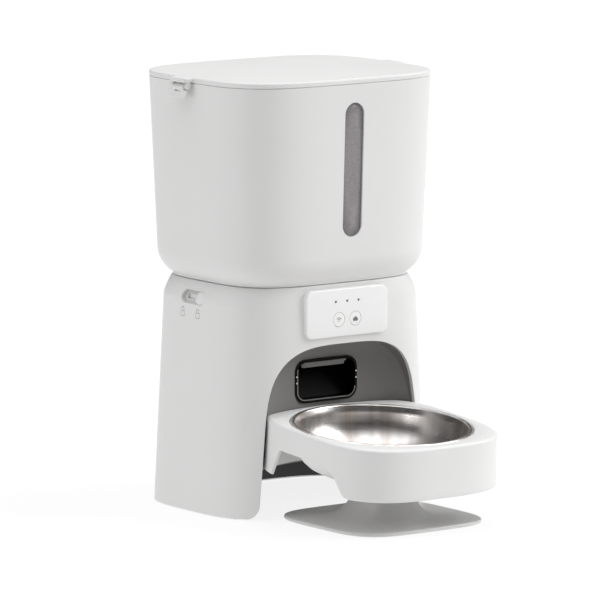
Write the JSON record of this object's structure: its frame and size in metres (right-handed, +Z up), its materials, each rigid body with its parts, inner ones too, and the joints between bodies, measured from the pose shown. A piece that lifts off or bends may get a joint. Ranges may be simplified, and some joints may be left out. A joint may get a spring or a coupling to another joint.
{
  "type": "automatic pet feeder",
  "caption": "Automatic dry food feeder: arched base with dispensing rotor, tapered lift-off hopper with latched lid, and a separate raised tray with a steel bowl.",
  "frame": {"origin": "floor, under the middle of the whole object's box", "axes": "+Z up, -Y towards the bowl, +X to the right seen from the front"},
  "size_m": [0.1992, 0.2695, 0.3224],
  "materials": {
    "white_shell": "fine satin moulded plastic",
    "grey_liner": "satin moulded plastic",
    "foot_grey": "satin moulded plastic",
    "mouth_black": "moulded plastic",
    "inner_white": "plain moulded plastic",
    "smoke_window": "smoky clear plastic",
    "steel_bowl": "brushed inside, polished rim",
    "screw_steel": "plain",
    "rubber_pad": "matte",
    "rotor_rubber": "soft matte",
    "gear_nylon": "natural nylon",
    "motor_can": "plated can",
    "brass": "turned",
    "contact_nickel": "nickel plated",
    "cell_wrap": "plain dark sleeve",
    "board_green": "solder mask",
    "board_dark": "moulded packages",
    "led_lens": "clear tinted",
    "button_white": "satin",
    "silica_felt": "non-woven sachet"
  },
  "bodies": {
    "base": {"base_shell": "white_shell", "cavity_liner": "grey_liner", "outlet_frame": "mouth_black", "outlet_visor": "grey_liner", "chute": "mouth_black", "well_deck": "inner_white", "deck_screws": "screw_steel", "shaft_bush": "brass", "gear_housing": "inner_white", "gearhead": "motor_can", "motor": "motor_can", "motor_screws": "screw_steel", "battery_box": "inner_white", "battery_cells": "cell_wrap", "battery_contacts": "contact_nickel", "bottom_cover": "grey_liner", "skirt_lining": "grey_liner", "cover_screws": "screw_steel", "rubber_pads": "rubber_pad", "power_socket": "contact_nickel", "main_board": "board_green", "board_parts": "board_dark", "board_screws": "screw_steel", "control_panel": "white_shell", "led_lenses": "led_lens", "button_board": "board_green", "button_switches": "board_dark", "lock_bezel": "inner_white"},
    "battery_door": {"battery_door": "grey_liner", "door_contacts": "contact_nickel"},
    "network_button": {"network_button": "button_white"},
    "feed_button": {"feed_button": "button_white"},
    "lock": {"lock_knob": "button_white", "lock_bar": "inner_white"},
    "rotor": {"rotor": "rotor_rubber", "rotor_shaft": "motor_can", "drive_gear": "gear_nylon"},
    "pinion": {"motor_pinion": "brass", "motor_shaft": "screw_steel"},
    "hopper": {"hopper_shell": "white_shell", "hopper_window": "smoke_window", "hopper_funnel": "inner_white"},
    "lid": {"lid_panel": "white_shell", "lid_seal": "rubber_pad", "latch_pins": "screw_steel", "desiccant_box": "inner_white", "desiccant_pack": "silica_felt"},
    "desiccant_cap": {"desiccant_cap": "inner_white"},
    "latch_right": {"latch_right": "white_shell"},
    "latch_left": {"latch_left": "white_shell"},
    "tray": {"tray_shell": "white_shell", "tray_foot": "foot_grey", "foot_pad": "rubber_pad", "foot_screws": "screw_steel"},
    "bowl": {"bowl": "steel_bowl"}
  },
  "joints": [
    {"name": "hopper_lift", "type": "slide", "parent": "base", "child": "hopper", "axis": [0, 0, 1], "range_m": [0, 0.12]},
    {"name": "lid_lift", "type": "slide", "parent": "hopper", "child": "lid", "axis": [0, 0, 1], "range_m": [0, 0.08]},
    {"name": "latch_right_flip", "type": "hinge", "parent": "lid", "child": "latch_right", "pos_m": [0.09635, 0.05895, 0.3132], "axis": [0, -1, 0], "range_deg": [0, 100]},
    {"name": "latch_left_flip", "type": "hinge", "parent": "lid", "child": "latch_left", "pos_m": [-0.09635, 0.05895, 0.3132], "axis": [0, 1, 0], "range_deg": [0, 100]},
    {"name": "desiccant_twist", "type": "hinge", "parent": "lid", "child": "desiccant_cap", "pos_m": [0, 0.05595, 0.3], "axis": [0, 0, 1], "range_deg": [0, 25]},
    {"name": "rotor_turn", "type": "hinge", "parent": "base", "child": "rotor", "pos_m": [0, 0.05795, 0.14], "axis": [0, 0, 1], "continuous": true},
    {"name": "pinion_turn", "type": "hinge", "parent": "base", "child": "pinion", "pos_m": [0.0198, 0.05795, 0.116], "axis": [0, 0, 1], "continuous": true},
    {"name": "network_press", "type": "slide", "parent": "base", "child": "network_button", "axis": [0, 1, 0], "range_m": [0, 0.0005], "stiffness_N_per_m": 600},
    {"name": "feed_press", "type": "slide", "parent": "base", "child": "feed_button", "axis": [0, 1, 0], "range_m": [0, 0.0005], "stiffness_N_per_m": 600},
    {"name": "lock_slide", "type": "slide", "parent": "base", "child": "lock", "axis": [0, 1, 0], "range_m": [0, 0.0165]},
    {"name": "battery_door_slide", "type": "slide", "parent": "base", "child": "battery_door", "axis": [0, -1, 0], "range_m": [0, 0.045]},
    {"name": "tray_pull", "type": "slide", "parent": "base", "child": "tray", "axis": [0, -1, 0], "range_m": [0, 0.1]},
    {"name": "bowl_lift", "type": "slide", "parent": "tray", "child": "bowl", "axis": [0, -0.0812, 0.9967], "range_m": [0, 0.04]}
  ],
  "couplings": [
    {"joint": "pinion_turn", "follows": "rotor_turn", "ratio": -2.1429}
  ]
}
